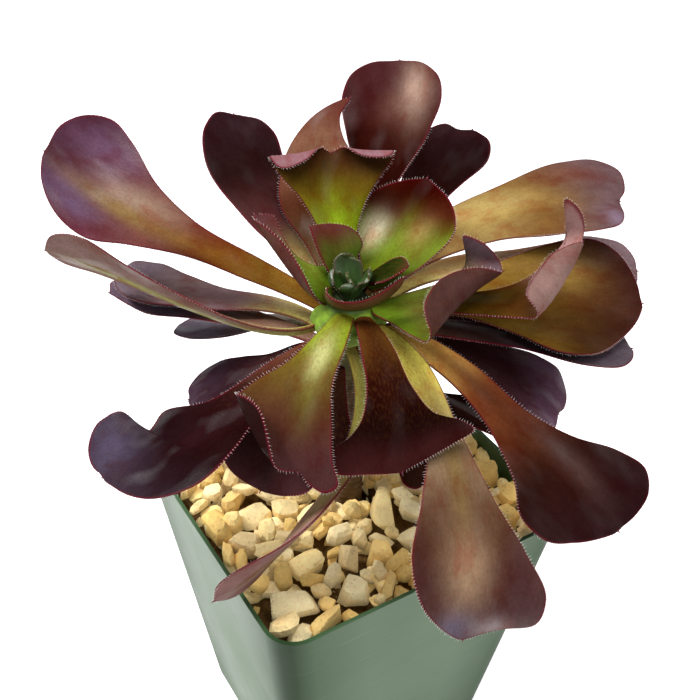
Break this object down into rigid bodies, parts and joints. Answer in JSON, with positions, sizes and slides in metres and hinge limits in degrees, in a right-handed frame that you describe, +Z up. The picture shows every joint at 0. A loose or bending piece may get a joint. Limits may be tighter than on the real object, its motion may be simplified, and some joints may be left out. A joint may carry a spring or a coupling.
{
  "type": "potted aeonium",
  "caption": "Dark wine-leaved aeonium rosette on a short woody stem, in a square tapered green nursery pot topped with crushed stone.",
  "frame": {"origin": "centre of the underside of the pot's centre boss, on the surface that the pot stands on", "axes": "+Z up along the stem; X and Y along the pot's square sides"},
  "size_m": [0.1692, 0.1605, 0.1834],
  "materials": {
    "pot_plastic": "satin",
    "potting_soil": "matte",
    "crushed_stone": "matte",
    "stem_bark": "matte",
    "bud_green": "satin",
    "leaf_inner": "satin",
    "leaf_outer": "satin"
  },
  "bodies": {
    "root": {"pot": "pot_plastic", "soil": "potting_soil", "gravel_bed": "crushed_stone", "stem": "stem_bark", "heart_bud": "bud_green", "stone_front_slab": "crushed_stone", "stone_front_shard": "crushed_stone", "stone_front_pyramid": "crushed_stone", "stone_front_wedge": "crushed_stone", "stone_front_chip": "crushed_stone", "stone_front_broad": "crushed_stone", "stone_front_grey": "crushed_stone", "stone_front_golden": "crushed_stone", "stone_front_corner": "crushed_stone", "stone_front_rim": "crushed_stone", "stone_middle_tall": "crushed_stone", "stone_middle_round": "crushed_stone", "stone_middle_small": "crushed_stone", "stone_left_grey": "crushed_stone", "stone_left_beige": "crushed_stone", "stone_left_pale": "crushed_stone", "stone_left_rim": "crushed_stone", "stone_left_back": "crushed_stone", "stone_right_smooth": "crushed_stone", "stone_right_golden": "crushed_stone", "leaf_heart_front": "leaf_inner", "leaf_heart_right": "leaf_inner", "leaf_heart_back": "leaf_inner", "leaf_inner_back": "leaf_inner", "leaf_inner_back_right": "leaf_inner", "leaf_inner_left": "leaf_inner", "leaf_inner_right": "leaf_inner", "leaf_inner_front_left": "leaf_inner", "leaf_inner_front": "leaf_inner", "leaf_middle_right": "leaf_outer", "leaf_middle_back": "leaf_outer", "leaf_upper_left": "leaf_outer", "leaf_upper_back": "leaf_outer", "leaf_upper_right": "leaf_outer", "leaf_front_long": "leaf_outer", "leaf_front_right": "leaf_outer", "leaf_left_edge_on": "leaf_outer", "leaf_right_round": "leaf_outer", "leaf_back_left": "leaf_outer", "leaf_lower_left": "leaf_outer", "leaf_right_behind": "leaf_outer", "leaf_back_right": "leaf_outer", "leaf_front_drooping": "leaf_outer", "leaf_left_behind": "leaf_outer", "leaf_right_under": "leaf_outer", "leaf_right_short": "leaf_outer", "leaf_left_under": "leaf_outer", "leaf_right_low": "leaf_outer", "leaf_front_hidden": "leaf_outer", "leaf_left_low": "leaf_outer", "leaf_front_left_low": "leaf_outer", "leaf_front_right_low": "leaf_outer", "leaf_front_low": "leaf_outer", "leaf_back_left_low": "leaf_outer"}
  },
  "joints": []
}
